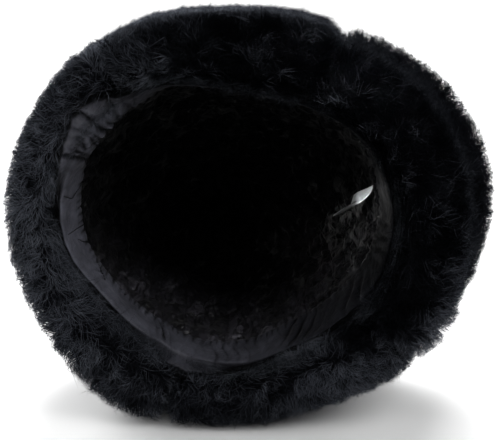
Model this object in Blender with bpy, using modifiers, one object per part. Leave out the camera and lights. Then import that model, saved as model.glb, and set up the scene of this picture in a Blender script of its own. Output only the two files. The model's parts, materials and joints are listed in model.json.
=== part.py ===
"""Fur ushanka with its four flaps folded up, lying on its side with its mouth towards -Y.

The pieces are shaped in the worn frame: x to the front, y to the wearer's left, z up through the
crown, and the rim at z = 0. The empty "ushanka" lays that frame on the wearer's right side, so the
front of the hat points to -X and the crown to +Y. Lengths are metres and angles degrees. An angle
round the hat is 0 at the front and 90 at the wearer's left.
"""

import math
from collections import namedtuple

import bmesh
import bpy
from mathutils import Vector

MM = 0.001

# Crown, measured outside its cloth
HEAD_LENGTH = 206 * MM
HEAD_WIDTH = 178 * MM
CROWN_HEIGHT = 142 * MM
CROWN_TAPER = 0.10
CROWN_FULLNESS = 3.6
GORES = 4
GORE_PUFF = 3.0 * MM

# Cloth layers, from the outside in
CROWN_CLOTH = 1.6 * MM
LINING_CLOTH = 2.0 * MM
SWEATBAND_CLOTH = 1.3 * MM
CLEARANCE = 0.4 * MM
CROWN_EDGE = 1.0 * MM

SWEATBAND_DEPTH = 38 * MM
SWEATBAND_LIP = 3.0 * MM
SWEATBAND_CURL = 2.0 * MM

# Fur flaps
FOLD_DEPTH = 17 * MM
FOLD_HEIGHT = -5 * MM
LIP_OVERHANG = 3.4 * MM
FREE_EDGE_ROUND = 12 * MM
END_ROUND = 20 * MM
END_SHARE = 0.94
END_DROP = 12 * MM
LOCK_WIDTH = 8 * MM
LOCK_RISE = 2.6 * MM
LOCK_POINTS = 3
FOLD_POINTS = 9
SIDE_POINTS = 8
EDGE_POINTS = 5
CLOTH_SHARES = (0.75, 0.5, 0.25, 0.03)

# How the hat lies: on the right ear flap, with the other flaps just clear of the surface
LYING_ON = "ear_flap_right"
LYING_TILT = 4
AXIS_HEIGHT = 122 * MM
FUR_CLEAR = 2 * MM

CROWN_COLUMNS = 48
CROWN_ROWS = 10
SWEATBAND_ROWS = 4

# The hat's soft plan, a row every 30 degrees from the front towards the wearer's left. dent is how far the
# rim stands outside its ellipse, lean how far the wall leans in half-way up, fold how thick the fur is
# at the rim's fold, and edge how far the flap's free edge stands outside the rim, all in millimetres.
Plan = namedtuple("Plan", "dent lean fold edge")
PLAN = (
    Plan(dent=1.0, lean=0.0, fold=26.0, edge=27.0),
    Plan(dent=3.0, lean=0.0, fold=29.0, edge=28.0),
    Plan(dent=6.0, lean=0.0, fold=31.0, edge=29.0),
    Plan(dent=-2.0, lean=2.0, fold=38.0, edge=32.0),
    Plan(dent=-1.5, lean=3.0, fold=40.0, edge=36.0),
    Plan(dent=3.0, lean=5.0, fold=36.0, edge=45.0),
    Plan(dent=-1.0, lean=6.0, fold=37.0, edge=59.0),
    Plan(dent=-3.0, lean=4.0, fold=44.0, edge=56.0),
    Plan(dent=-3.5, lean=2.0, fold=36.0, edge=36.0),
    Plan(dent=2.5, lean=0.0, fold=33.0, edge=30.0),
    Plan(dent=-2.5, lean=-3.0, fold=43.0, edge=38.0),
    Plan(dent=-6.0, lean=-7.0, fold=34.0, edge=32.0),
)

# The label, as the lines across it from its seam to its free edge, a row each. Each end of a line has its
# angle round the hat, its height and its reach in from the lining, in degrees and millimetres.
LABEL_CLOTH = 0.9 * MM
LABEL_CLEARANCE = 0.6 * MM
LineEnd = namedtuple("LineEnd", "angle height reach")
LabelLine = namedtuple("LabelLine", "near far")
LABEL_LINES = (
    LabelLine(near=LineEnd(168, 39, 0), far=LineEnd(175, 59, 0)),
    LabelLine(near=LineEnd(169, 37, 9), far=LineEnd(177, 57, 7)),
    LabelLine(near=LineEnd(170, 36, 18), far=LineEnd(178, 56, 15)),
    LabelLine(near=LineEnd(176, 36, 25), far=LineEnd(181, 55, 22)),
    LabelLine(near=LineEnd(184, 36, 30), far=LineEnd(187, 54, 26)),
)

# The four flaps. waist is the hollow between the fold and the free edge, and stand_off the gap that
# opens between the flap's cloth side and the crown at the free edge.
Flap = namedtuple("Flap", "name start end height waist stand_off")
FLAPS = (
    Flap("visor", start=-72, end=55, height=84 * MM, waist=1 * MM, stand_off=7 * MM),
    Flap("ear_flap_left", start=55.4, end=120.6, height=90 * MM, waist=2 * MM, stand_off=7 * MM),
    Flap("back_flap", start=121, end=213.4, height=88 * MM, waist=9 * MM, stand_off=26 * MM),
    Flap("ear_flap_right", start=213.8, end=287.6, height=90 * MM, waist=0 * MM, stand_off=7 * MM),
)

BLACK_FUR = (0.012, 0.013, 0.016)
BLACK_CLOTH = (0.016, 0.016, 0.019)
BLACK_SATIN = (0.030, 0.030, 0.038)
BAND_SATIN = (0.045, 0.045, 0.056)
WHITE_SATIN = (0.72, 0.73, 0.73)


def clear_scene():
    """Empties the file of whatever it opened with."""
    for obj in list(bpy.data.objects):
        bpy.data.objects.remove(obj)


def make_material(name, colour, roughness, sheen):
    """A plain cloth or fur material."""
    material = bpy.data.materials.new(name)
    material.use_nodes = True
    surface = material.node_tree.nodes["Principled BSDF"]
    surface.inputs["Base Color"].default_value = (*colour, 1.0)
    surface.inputs["Roughness"].default_value = roughness
    surface.inputs["Metallic"].default_value = 0.0
    surface.inputs["Sheen Weight"].default_value = sheen
    return material


def add_piece(name, shape, material, root, collection):
    """Turns a bmesh into one smooth-shaded object under the root."""
    bmesh.ops.recalc_face_normals(shape, faces=shape.faces)
    mesh = bpy.data.meshes.new(name)
    shape.to_mesh(mesh)
    shape.free()
    mesh.shade_smooth()
    mesh.materials.append(material)
    piece = bpy.data.objects.new(name, mesh)
    piece.parent = root
    collection.objects.link(piece)
    return piece


def loft(sections, round_trip, closed_section):
    """Quads between sections of equally many points: round_trip joins the last section to the first."""
    shape = bmesh.new()
    rings = [[shape.verts.new(point) for point in section] for section in sections]
    following = rings[1:] + rings[:1] if round_trip else rings[1:]
    for ring, next_ring in zip(rings, following):
        count = len(ring)
        for i in range(count if closed_section else count - 1):
            j = (i + 1) % count
            shape.faces.new((ring[i], ring[j], next_ring[j], next_ring[i]))
    if closed_section and not round_trip:
        shape.faces.new(rings[0])
        shape.faces.new(reversed(rings[-1]))
    return shape


def plan_value(column, angle):
    """A column of the plan at any angle, on a smooth curve through its rows."""
    step = 360 / len(PLAN)
    row, share = divmod(angle / step, 1)
    before, here, after, beyond = (
        getattr(PLAN[(int(row) + offset) % len(PLAN)], column) for offset in (-1, 0, 1, 2)
    )
    slope_in = (after - before) / 2
    slope_out = (beyond - here) / 2
    square, cube = share**2, share**3
    return (
        (2 * cube - 3 * square + 1) * here
        + (cube - 2 * square + share) * slope_in
        + (3 * square - 2 * cube) * after
        + (cube - square) * slope_out
    ) * MM


def rim_radius(angle):
    """Radius of the crown's cloth at the rim."""
    turn = math.radians(angle)
    half_length, half_width = HEAD_LENGTH / 2, HEAD_WIDTH / 2
    ellipse = half_length * half_width / math.hypot(
        half_width * math.cos(turn), half_length * math.sin(turn)
    )
    return ellipse + plan_value("dent", angle)


def wall_radius(angle, height, inset):
    """Radius of the dome that lies this far inside the crown's outer surface."""
    share = min(max(height, 0) / (CROWN_HEIGHT - inset), 1)
    dome = (1 - CROWN_TAPER * share) * math.sqrt(1 - share**CROWN_FULLNESS)
    lean = plan_value("lean", angle) * math.sin(math.pi * share)
    return (rim_radius(angle) - inset) * dome - lean * math.sqrt(1 - share**2)


def at(angle, radius, height):
    """The point at an angle round the hat."""
    turn = math.radians(angle)
    return Vector((radius * math.cos(turn), radius * math.sin(turn), height))


def dome_turn(height):
    """How far over the dome a height lies: 0 at the rim and a quarter turn at the top."""
    return math.asin(min(max(height, 0) / CROWN_HEIGHT, 1))


def crown_bulge(height):
    """How far the crown's gores puff out between their seams at a height."""
    share = dome_turn(height) / (math.pi / 2)
    return GORE_PUFF * min(2 * share, 1) * math.sqrt(1 - share)


def dome_heights(inset):
    """Heights of a dome's rings: evenly up the wall, then closing over the top."""
    top = CROWN_HEIGHT - inset
    turns = [math.pi / 2 * row / CROWN_ROWS for row in range(CROWN_ROWS)]
    return [CROWN_EDGE + (top - CROWN_EDGE) * math.sin(turn) for turn in turns]


def dome_shell(inset, gored):
    """An open dome inside the crown's outer surface, plain or with gores between sunk seams."""
    heights = dome_heights(inset)
    sections = []
    for column in range(CROWN_COLUMNS):
        angle = 360 * column / CROWN_COLUMNS
        puff = math.sqrt(abs(math.sin(math.radians(angle * GORES / 2)))) if gored else 0
        section = []
        for height in heights:
            bulge, turn = puff * crown_bulge(height), dome_turn(height)
            radius = wall_radius(angle, height, inset) + bulge * math.cos(turn)
            section.append(at(angle, radius, height + bulge * math.sin(turn)))
        sections.append(section)
    shape = loft(sections, round_trip=True, closed_section=False)
    top_ring = [vert for vert in shape.verts if vert.co.z >= heights[-1] - CLEARANCE]
    top = bmesh.ops.contextual_create(shape, geom=top_ring)["faces"]
    for vert in bmesh.ops.poke(shape, faces=top)["verts"]:
        vert.co.z = CROWN_HEIGHT - inset
    return shape


def thicken(piece, thickness):
    """Gives an open surface its cloth thickness, inwards."""
    solidify = piece.modifiers.new("cloth", "SOLIDIFY")
    solidify.thickness = thickness
    solidify.offset = -1
    solidify.use_even_offset = True
    return piece


def sweatband_shell():
    """The strip inside the rim, its front edge curled out over the edges of the lining and the crown."""
    inset = CROWN_CLOTH + LINING_CLOTH + 2 * CLEARANCE
    heights = [-SWEATBAND_LIP, -SWEATBAND_LIP / 2]
    heights += [SWEATBAND_DEPTH * row / SWEATBAND_ROWS for row in range(SWEATBAND_ROWS + 1)]
    sections = []
    for column in range(CROWN_COLUMNS):
        angle = 360 * column / CROWN_COLUMNS
        section = []
        for height in heights:
            curl = SWEATBAND_CURL * (min(height, 0) / SWEATBAND_LIP) ** 2
            section.append(at(angle, wall_radius(angle, height, inset) + curl, height))
        sections.append(section)
    return loft(sections, round_trip=True, closed_section=False)


def label_shell():
    """The label: a short ribbon sewn to the lining along one side, which turns over as it hangs."""
    inset = CROWN_CLOTH + CLEARANCE + LINING_CLOTH + LABEL_CLEARANCE
    sections = []
    for line in LABEL_LINES:
        ends = []
        for end in line:
            height = end.height * MM
            ends.append(at(end.angle, wall_radius(end.angle, height, inset) - end.reach * MM, height))
        near, far = ends
        sections.append([near, (near + far) / 2, far])
    return loft(sections, round_trip=False, closed_section=False)


def end_round(distance):
    """0 at a flap's end and 1 where its rounded corner is over."""
    reach = min(distance / END_ROUND, 1)
    return math.sqrt(1 - (1 - reach) ** 2)


def flap_section(flap, angle, roundness):
    """Closed section of a flap: its fur from the lip round the fold to the free edge, then its cloth side."""
    rim = rim_radius(angle)
    full = END_SHARE + (1 - END_SHARE) * roundness
    fold = plan_value("fold", angle) * full
    edge = plan_value("edge", angle) * full
    height = flap.height - END_DROP * (1 - roundness)
    side_top = height - FREE_EDGE_ROUND

    def cloth_side(level):
        gap = CLEARANCE + flap.stand_off * (max(level, 0) / flap.height) ** 2
        return wall_radius(angle, level, 0) + crown_bulge(level) + gap

    fur = []
    fold_centre, fold_reach = rim + (fold - LIP_OVERHANG) / 2, (fold + LIP_OVERHANG) / 2
    for step in range(FOLD_POINTS):
        turn = math.pi * step / (FOLD_POINTS - 1)
        depth = FOLD_DEPTH * full * math.sin(turn)
        fur.append((fold_centre - fold_reach * math.cos(turn), FOLD_HEIGHT - depth))
    for step in range(1, SIDE_POINTS + 1):
        share = step / SIDE_POINTS
        spread = fold + (edge - fold) * (3 * share**2 - 2 * share**3)
        spread -= flap.waist * math.sin(math.pi * share)
        fur.append((rim + spread, FOLD_HEIGHT + (side_top - FOLD_HEIGHT) * share))
    edge_centre = (rim + edge + cloth_side(side_top)) / 2
    edge_reach = (rim + edge - cloth_side(side_top)) / 2
    for step in range(1, EDGE_POINTS + 1):
        turn = math.pi * step / (EDGE_POINTS + 1)
        fur.append(
            (edge_centre + edge_reach * math.cos(turn), side_top + FREE_EDGE_ROUND * math.sin(turn))
        )
    cloth = [(cloth_side(side_top), side_top)]
    cloth += [(cloth_side(side_top * share), side_top * share) for share in CLOTH_SHARES]
    cloth.append((rim + CLEARANCE, FOLD_HEIGHT / 2))
    cloth.append((rim - CROWN_CLOTH, FOLD_HEIGHT + CLEARANCE))
    return fur, cloth


def raise_locks(fur, column):
    """Lifts the fur's points into overlapping locks, staggered from one column to the next."""
    raised = []
    for i, (radius, height) in enumerate(fur):
        before = fur[max(i - 1, 0)]
        after = fur[min(i + 1, len(fur) - 1)]
        along = Vector((after[0] - before[0], after[1] - before[1])).normalized()
        row, step = divmod(i, LOCK_POINTS)
        on_lock = (row + column) % 2 == 0
        rise = LOCK_RISE * (step + 1) / LOCK_POINTS if on_lock else 0
        if i in (0, len(fur) - 1):
            rise = 0
        raised.append((radius + along.y * rise, height - along.x * rise))
    return raised


def press_flat(point, clear):
    """The point as it ends up with the hat's weight on it, at least this clear of the surface."""
    tilt = math.radians(LYING_TILT)
    lowest = (point.z * math.sin(tilt) - AXIS_HEIGHT + clear) / math.cos(tilt)
    return Vector((point.x, max(point.y, lowest), point.z))


def flap_shape(flap):
    """One flap, lofted round the hat in columns half a lock wide, its ends rounded off."""
    middle = (flap.start + flap.end) / 2
    outer = rim_radius(middle) + plan_value("fold", middle)
    length = math.radians(flap.end - flap.start) * outer
    columns = round(length / LOCK_WIDTH)
    clear = 0 if flap.name == LYING_ON else FUR_CLEAR
    sections = []
    for column in range(columns + 1):
        share = column / columns
        angle = flap.start + (flap.end - flap.start) * share
        roundness = end_round(length * min(share, 1 - share))
        fur, cloth = flap_section(flap, angle, roundness)
        outline = raise_locks(fur, column) + cloth
        sections.append([press_flat(at(angle, radius, height), clear) for radius, height in outline])
    return loft(sections, round_trip=False, closed_section=True)


def make_root(collection):
    """The empty that lays the worn frame on the wearer's right side."""
    root = bpy.data.objects.new("ushanka", None)
    root.rotation_euler = (math.radians(90 + LYING_TILT), 0, math.radians(180))
    root.location = (0, 0, AXIS_HEIGHT)
    collection.objects.link(root)
    return root


def centre_over_origin(root, pieces):
    """Moves the hat along the surface until its bounding box is centred on the origin."""
    bpy.context.view_layer.update()
    corners = [piece.matrix_world @ vert.co for piece in pieces for vert in piece.data.vertices]
    for axis in (0, 1):
        values = [corner[axis] for corner in corners]
        root.location[axis] -= (min(values) + max(values)) / 2


def build():
    """Makes every piece of the hat."""
    clear_scene()
    collection = bpy.data.collections.new("ushanka")
    bpy.context.scene.collection.children.link(collection)
    root = make_root(collection)

    cloth = make_material("crown cloth", BLACK_CLOTH, 0.85, 0.2)
    satin = make_material("lining satin", BLACK_SATIN, 0.4, 0.1)
    band_satin = make_material("sweatband satin", BAND_SATIN, 0.45, 0.1)
    white_satin = make_material("label satin", WHITE_SATIN, 0.5, 0.0)
    lining_inset = CROWN_CLOTH + CLEARANCE
    crown = add_piece("crown", dome_shell(0, gored=True), cloth, root, collection)
    lining = add_piece("lining", dome_shell(lining_inset, gored=False), satin, root, collection)
    sweatband = add_piece("sweatband", sweatband_shell(), band_satin, root, collection)
    label = add_piece("label", label_shell(), white_satin, root, collection)
    thicken(crown, CROWN_CLOTH)
    thicken(lining, LINING_CLOTH)
    thicken(sweatband, SWEATBAND_CLOTH)
    thicken(label, LABEL_CLOTH)

    pieces = [crown, lining, sweatband, label]
    for flap in FLAPS:
        fur = make_material(flap.name + " fur", BLACK_FUR, 0.8, 0.5)
        pieces.append(add_piece(flap.name, flap_shape(flap), fur, root, collection))
    centre_over_origin(root, pieces)


build()
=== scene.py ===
"""The looks of a black fur ushanka that lies on its side, its flaps folded up and its mouth to the front.

Lengths are in metres. The hat's own directions: forward is the wearer's front, sideways the wearer's
left, and upward the crown. An angle goes round the head from the front over the wearer's left.
"""

import json
import math
from collections import namedtuple

import bmesh
import bpy
import numpy as np
from bmesh.types import BMEdge, BMVert
from mathutils import Matrix, Vector, noise
from mathutils.bvhtree import BVHTree
from mathutils.kdtree import KDTree

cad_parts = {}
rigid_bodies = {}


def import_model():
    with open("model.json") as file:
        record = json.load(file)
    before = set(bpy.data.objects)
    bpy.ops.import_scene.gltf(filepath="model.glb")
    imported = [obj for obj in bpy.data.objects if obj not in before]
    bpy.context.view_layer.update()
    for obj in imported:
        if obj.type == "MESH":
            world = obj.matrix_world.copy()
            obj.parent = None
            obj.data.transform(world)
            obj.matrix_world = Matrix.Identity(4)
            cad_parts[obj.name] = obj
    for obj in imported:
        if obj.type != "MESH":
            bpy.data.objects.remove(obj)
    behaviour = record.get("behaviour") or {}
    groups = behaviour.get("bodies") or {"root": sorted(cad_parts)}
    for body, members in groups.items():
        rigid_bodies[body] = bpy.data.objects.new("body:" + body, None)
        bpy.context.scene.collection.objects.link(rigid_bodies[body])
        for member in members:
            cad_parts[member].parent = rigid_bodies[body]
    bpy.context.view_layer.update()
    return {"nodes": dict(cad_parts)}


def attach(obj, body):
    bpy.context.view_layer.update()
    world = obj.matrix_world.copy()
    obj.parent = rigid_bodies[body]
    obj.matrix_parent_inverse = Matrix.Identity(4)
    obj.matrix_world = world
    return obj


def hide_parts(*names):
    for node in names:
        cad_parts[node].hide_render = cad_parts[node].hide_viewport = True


MM = 0.001
BLACK = (0, 0, 0)
WHITE = (1, 1, 1)

# what Blender's noise vectors start from
NOISE_SEED = 7

# how the hat lies: the middle of its mouth, and its three directions
LYING_TILT = math.radians(4)
MOUTH_MIDDLE = np.array((-0.01486, -0.05541, 0.122))
FORWARD = np.array((-1.0, 0.0, 0.0))
SIDEWAYS = np.array((0.0, math.sin(LYING_TILT), math.cos(LYING_TILT)))
UPWARD = np.array((0.0, math.cos(LYING_TILT), -math.sin(LYING_TILT)))

# how deep a hide lies under its flap's form: at most, as a share of the flap's thickness, at the flap's
# ends, and on its cloth side. The grain is how coarse its mesh is.
FUR_DEPTH = 4.2 * MM
FUR_SHARE = 0.36
END_DEPTH = 2.2 * MM
CLOTH_DEPTH = 0.6 * MM
HIDE_GRAIN = 4.4 * MM

# what is lower than this is the lip of the flaps, at the mouth
LIP_HEIGHT = 12 * MM

# how far apart locks are, how wide a hair is, and how long: a start, and a gain with the pile's depth
LOCK_SPACING = 2.6 * MM
HAIR_WIDTH = 0.32 * MM
HAIR_START = 4.3 * MM
HAIR_GAIN = 1.25

# hairs pressed on the table end in a thin layer above it
FLOOR_CLEAR = 0.4 * MM
FLOOR_LAYER = 1.2 * MM

# how far from the sweatband hairs lean over it, and how much longer they are there
LEAN_REACH = 7 * MM
LEAN_LONGER = 5 * MM

# how far hairs stand out of the flap's own form, in millimetres: their tips mostly little and a few far,
# their middles evenly between two limits
TIP_CLEAR = -0.6
TIP_FUZZ = 1.9
MIDDLE_CLEAR = (-1.4, 0.6)

# the share of hairs that stray, and how many times longer they are
STRAY_SHARE = 0.14
STRAY_LENGTH = 1.35

# how much locks differ from each other, and the hairs of a lock: the spread of normal draws
Spread = namedtuple("Spread", "turn rise tone bend")
OF_LOCKS = Spread(turn=0.35, rise=0.06, tone=0.22, bend=0.24)
OF_HAIRS = Spread(turn=0.55, rise=0.09, tone=0.26, bend=0.07)

# the spread of the lengths of locks, and the limits of the lengths and widths of their hairs
LOCK_LENGTHS = 0.05
HAIR_LENGTHS = (0.70, 1.15)
HAIR_WIDTHS = (0.6, 1.25)

# slow changes over the fur: how strong they are, and how far apart
Wave = namedtuple("Wave", "strong apart")
RISE_WAVE = Wave(0.24, 9 * MM)
LENGTH_WAVE = Wave(0.06, 14 * MM)
TONE_WAVE = Wave(0.55, 5 * MM)
WIDE_SWIRL = Wave(1.3, 20 * MM)
FINE_SWIRL = Wave(1.5, 7 * MM)

# how steeply locks and hairs rise from the hide, as sines
LOCK_RISE = 0.58
LOCK_RISE_LIMITS = (0.30, 0.86)
HAIR_RISE_LIMITS = (0.16, 0.97)

# how pale locks are, and how that changes along a hair, its root painted dark as the shade among the hairs:
# at its two root corners, its two middle ones and its tip
LOCK_TONE = 0.82
TONE_ALONG = (0.25, 0.25, 0.8, 0.8, 1.35)

# how far hairs lean to the tip of their lock, and how deep they are rooted
LOCK_PULL = 0.22
ROOT_DEPTH = 0.8 * MM

# a hair's middle, as shares of its length and width: how high it is, how far along and half how wide; and
# how far a hair is twisted at most, in radians
MIDDLE_RISE = 0.6
MIDDLE_LIFT = 0.06
MIDDLE_ALONG = 0.36
MIDDLE_HALF = 0.36
HAIR_TWIST = 0.9

# the lining's facets: how far their heights differ, and how far apart they are
BIG_FACETS = Wave(5.5 * MM, 17 * MM)
SMALL_FACETS = Wave(3.2 * MM, 8 * MM)

# the crown's dents, how deep its seams are drawn in and how wide, and how wide their dark lines are
WIDE_DENTS = Wave(0.7 * MM, 30 * MM)
FINE_DENTS = Wave(0.2 * MM, 7 * MM)
SEAM_SUNK = 1.6 * MM
SEAM_WIDTH = 1.5 * MM
SEAM_DARK = 1.1 * MM

# how thick the cloths are
CROWN_CLOTH = 1.4 * MM
LABEL_CLOTH = 0.3 * MM
BAND_CLOTH = 0.7 * MM

# the domes: the height that their rays spread from, their flat size, the heights of their rims, and how far
# out a ray starts that looks inward
DOME_MIDDLE = 60 * MM
DOME_FLAT = (0.58, 0.19)
CROWN_RIM = 1.2 * MM
LINING_RIM = 1.6 * MM
FAR_OUT = 0.3

# how many faces each cloth has round the head and up, or along and across
LINING_GRID = (340, 100)
BAND_GRID = (540, 24)
CROWN_GRID = (192, 54)
LABEL_GRID = (40, 12)

# satin: how far its facets are drawn out, its thread, and how much of it floats
FACET_STRETCH = 0.42
SATIN_THREAD = 0.25 * MM
SATIN_FLOATS = 0.3

# the rim's half length and half width
RIM_LONG = 103 * MM
RIM_WIDE = 89 * MM

# the sweatband: the heights of its two edges, and the hem under the fur that its outer edge joins
BAND_LOW = -2.4 * MM
BAND_HIGH = 34.0 * MM
HEM_REACH = 15 * MM

# the rows of the band's outer edge, how far out and up each goes in millimetres: the first lie open
LIP_OPEN = 8
LIP_ROWS = (
    (0.2, -0.1), (0.2, 0.0), (0.2, 0.05), (0.25, 0.05), (0.25, 0.1), (0.3, 0.2), (0.3, 0.3), (0.4, 0.4),
    (0.9, 0.8), (1.6, 1.0), (2.4, 0.8), (3.2, 0.5), (3.2, 0.2),
)

# where the band is ruched: the angle and half width of each spot, its depth in millimetres, and how far
# apart in degrees its folds are and how they slant
Ruche = namedtuple("Ruche", "angle half_width depth spacing slant")
RUCHES = (
    Ruche(38, 11, 2.4, 4.4, 0.7),
    Ruche(27, 5, 1.8, 3.6, -0.5),
    Ruche(54, 6, 2.2, 4.0, 1.0),
    Ruche(13, 8, 0.5, 3.2, 0.1),
    Ruche(299, 4, 2.0, 3.4, -0.8),
    Ruche(210, 9, 1.8, 7.0, 0.9),
    Ruche(186, 8, 1.6, 5.0, -0.9),
    Ruche(238, 10, 1.3, 6.2, 1.2),
    Ruche(270, 12, 0.9, 4.6, -0.3),
    Ruche(335, 6, 0.7, 4.0, 0.5),
)

# the pouch of the band in front of the wearer's left ear, in degrees round the head: how far it lifts from
# the rim, spreads over the fur and puffs up from it, and over what spread it joins the band beside it
POUCH_ANGLE = 43
POUCH_WIDTH = 21
POUCH_LIFT = 5.0 * MM
POUCH_SPREAD = 11.5 * MM
POUCH_PUFF = 2.5 * MM
POUCH_JOIN = 4.0 * MM

# where the band sags on the fur, how far it spreads there, and how much lower its seam is
SAG_ANGLE = 285
SAG_WIDTH = 22
SAG_SPREAD = 3.2 * MM
SEAM_DROP = 9.0 * MM

# where the fur under the pouch is looked for: from how far in front, and how far round to both sides
LOOK_AHEAD = 60 * MM
LOOK_BESIDE = 0.05

# sharp creases in the pouch: lines of places in the plane of the mouth as they look from the front, in
# millimetres forward and sideways, each with its depth
Crease = namedtuple("Crease", "depth line")
CREASES = (
    Crease(2.0, ((84.9, 70.1), (80.5, 66.9), (76.5, 63.0), (71.9, 61.2))),
    Crease(2.0, ((94.6, 44.3), (90.6, 44.6), (85.2, 44.6))),
    Crease(1.4, ((89.9, 48.1), (83.9, 46.0))),
    Crease(1.8, ((86.5, 55.0), (85.4, 50.5))),
    Crease(1.6, ((81.2, 56.3), (80.2, 49.9), (81.9, 47.8))),
    Crease(1.2, ((79.2, 58.4), (76.5, 53.4))),
    Crease(1.4, ((71.1, 81.8), (67.8, 75.4), (66.5, 69.7), (67.8, 65.4))),
    Crease(1.2, ((69.8, 84.9), (65.8, 80.3))),
    Crease(1.4, ((69.5, 91.6), (66.5, 88.8))),
    Crease(1.4, ((63.5, 93.8), (61.4, 89.6))),
    Crease(0.7, ((90.6, 61.2), (85.9, 59.1), (80.5, 59.1))),
    Crease(1.2, ((62.0, 72.0), (58.5, 76.0))),
)

# how wide a crease is in millimetres, and how the look from the front moves the places of the pouch: for
# each millimetre upward, and all of them
CREASE_WIDTH = 1.1
SEEN_UPWARD = (-0.087, 0.287)
SEEN_MIDDLE = (1.8, 5.5)

# threads that show on the band: angles round the head and shares of its height, from its outer edge
THREADS = (
    ((9.0, 0.05), (5.7, 0.50), (8.4, 0.95)),
    ((21.5, 0.55), (16.0, 1.00)),
    ((-5.5, 0.15), (-7.2, 1.00)),
    ((-10.0, 0.55), (-12.5, 0.75), (-14.0, 1.00)),
    ((-21.0, 0.95), (-29.0, 0.60)),
    ((28.0, 0.20), (33.0, 0.60), (29.0, 0.95)),
    ((297.0, 0.15), (301.0, 0.90)),
)

# the label: each line across it from its seam to its free edge, in forward, sideways and upward lengths
LabelLine = namedtuple("LabelLine", "near far")
LABEL_LINES = (
    LabelLine((-87.3, 17.0, 40.0), (-87.8, 15.3, 48.0)),
    LabelLine((-84.3, 13.4, 38.0), (-80.5, 10.5, 55.0)),
    LabelLine((-80.6, 9.3, 37.0), (-73.6, 7.9, 53.0)),
    LabelLine((-77.7, 7.1, 36.0), (-72.3, 2.8, 51.0)),
    LabelLine((-76.9, 5.2, 40.0), (-72.1, 3.3, 46.0)),
    LabelLine((-70.5, -0.9, 48.0), (-66.7, 1.0, 40.0)),
    LabelLine((-61.3, -4.8, 44.0), (-60.9, -4.4, 42.0)),
)

# a patch round the head: its middle and half width in degrees, and how much it gives
Patch = namedtuple("Patch", "angle half_width gain")

# where the pile is brushed sideways
BRUSHED = Patch(8, 42, 1.1)

# where the pile on the side of the mouth is painted lit, how dark it is painted in shade elsewhere, and how
# many times paler its random flecks are
PAINTED_LIGHT_PILE = (
    Patch(10, 40, 1.0), Patch(-40, 38, 0.38), Patch(62, 16, 0.32), Patch(228, 24, 0.95), Patch(280, 35, 0.28),
)
PAINTED_SHADE_PILE = 0.045
FLECKS = 12.0

# where the outer side of the fur is painted in shade, and by how much
PAINTED_SHADE_OUTSIDE = (Patch(145, 60, 0.70),)

# where the pile stands out further, and by how many millimetres; how much longer its hairs are for each
# millimetre, and how much shorter they are in a parting
FULLER_PILE = (
    Patch(160, 25, 2.9), Patch(203, 10, 3.0), Patch(322, 35, 1.8), Patch(50, 10, 2.2), Patch(108, 18, 1.3),
)
FULLER_LONGER = 0.2
PARTING_SHORTER = 0.35

# where the satin of the band and of the lining is painted lit, and how dark it is painted in shade elsewhere
PAINTED_LIGHT_BAND = (Patch(-8, 44, 0.95), Patch(38, 12, 0.35), Patch(280, 37, 0.62), Patch(222, 18, 0.06))
PAINTED_SHADE_BAND = 0.03
PAINTED_LIGHT_LINING = (Patch(290, 52, 1.0), Patch(200, 30, 0.07))
PAINTED_SHADE_LINING = 0.03

# tufts and partings on the mouth's side of the fur: angle, distance from the rim and half sizes in
# millimetres, and how pale they are. A parting is below 1 and is painted in shade over its dark roots, a tuft
# is above 1 and is painted lit.
Spot = namedtuple("Spot", "angle reach half_length half_width pale")
TUFT_PAINTED_LIGHT = 0.25
SPOTS = (
    Spot(203, 10, 18, 8, 0.10), Spot(202, 29, 20, 7, 6.0),
    Spot(219, 3, 15, 7, 0.06), Spot(307, 8, 4, 3, 0.12),
    Spot(296, 11, 4, 3, 0.12), Spot(321, 3, 7, 3, 0.15),
    Spot(344, 9, 4, 3, 0.10), Spot(8, 4, 10, 2, 0.25),
    Spot(31, 6, 9, 3, 0.25), Spot(268, 14, 6, 2.5, 0.20),
    Spot(247, 6, 7, 2.5, 0.20), Spot(310, 18, 8, 3, 0.45),
    Spot(66, 9, 8, 4, 2.6), Spot(72, 3, 6, 2.5, 3.0),
    Spot(128, 12, 4, 9, 2.6), Spot(285, 7, 14, 2.5, 1.5),
)

# how far forward the label's loose end is painted grey in shade, and over what length that fades
SHADED_END = 74.5 * MM
SHADE_FADE = 2.5 * MM

# how far the crown's topstitching lies beside each seam
SEAM_BESIDE = 2.6 * MM

# the length and width of stitches, and the gap between them
Stitch = namedtuple("Stitch", "length width gap")
CROWN_STITCH = Stitch(2.6 * MM, 0.6 * MM, 0.9 * MM)
BAND_STITCH = Stitch(2.2 * MM, 0.75 * MM, 0.1 * MM)

# the camera
CAMERA_PLACE = (0.0599, -0.755, 0.3818)
CAMERA_AZIMUTH = math.radians(5)
CAMERA_ELEVATION = math.radians(20)
CAMERA_LENS = 92

# half the length of the table
TABLE_HALF = 1.25

# what the lights look at, and what the small one through the mouth looks at
HAT_PLACE = (0, 0, 0.12)
LABEL_PLACE = (0.062, -0.012, 0.130)

# how many hairs each flap has, and the seed of its fur
Flap = namedtuple("Flap", "node hairs seed")
FLAPS = (
    Flap("visor", 62000, 11),
    Flap("ear_flap_left", 59000, 23),
    Flap("back_flap", 62000, 37),
    Flap("ear_flap_right", 62000, 53),
)


def unit(vectors):
    """Rows of vectors, each made one long."""
    return vectors / np.maximum(np.linalg.norm(vectors, axis=-1, keepdims=True), 1e-12)


def worn(points):
    """Points of the scene in the hat's own directions."""
    away = np.asarray(points, float) - MOUTH_MIDDLE
    return np.stack([away @ FORWARD, away @ SIDEWAYS, away @ UPWARD], axis=-1)


def outward_at(angle):
    """The direction from the head's axis at an angle round the head."""
    return FORWARD * math.cos(angle) + SIDEWAYS * math.sin(angle)


def on_axis(height):
    """A place on the head's axis."""
    return Vector(MOUTH_MIDDLE + UPWARD * height)


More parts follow.
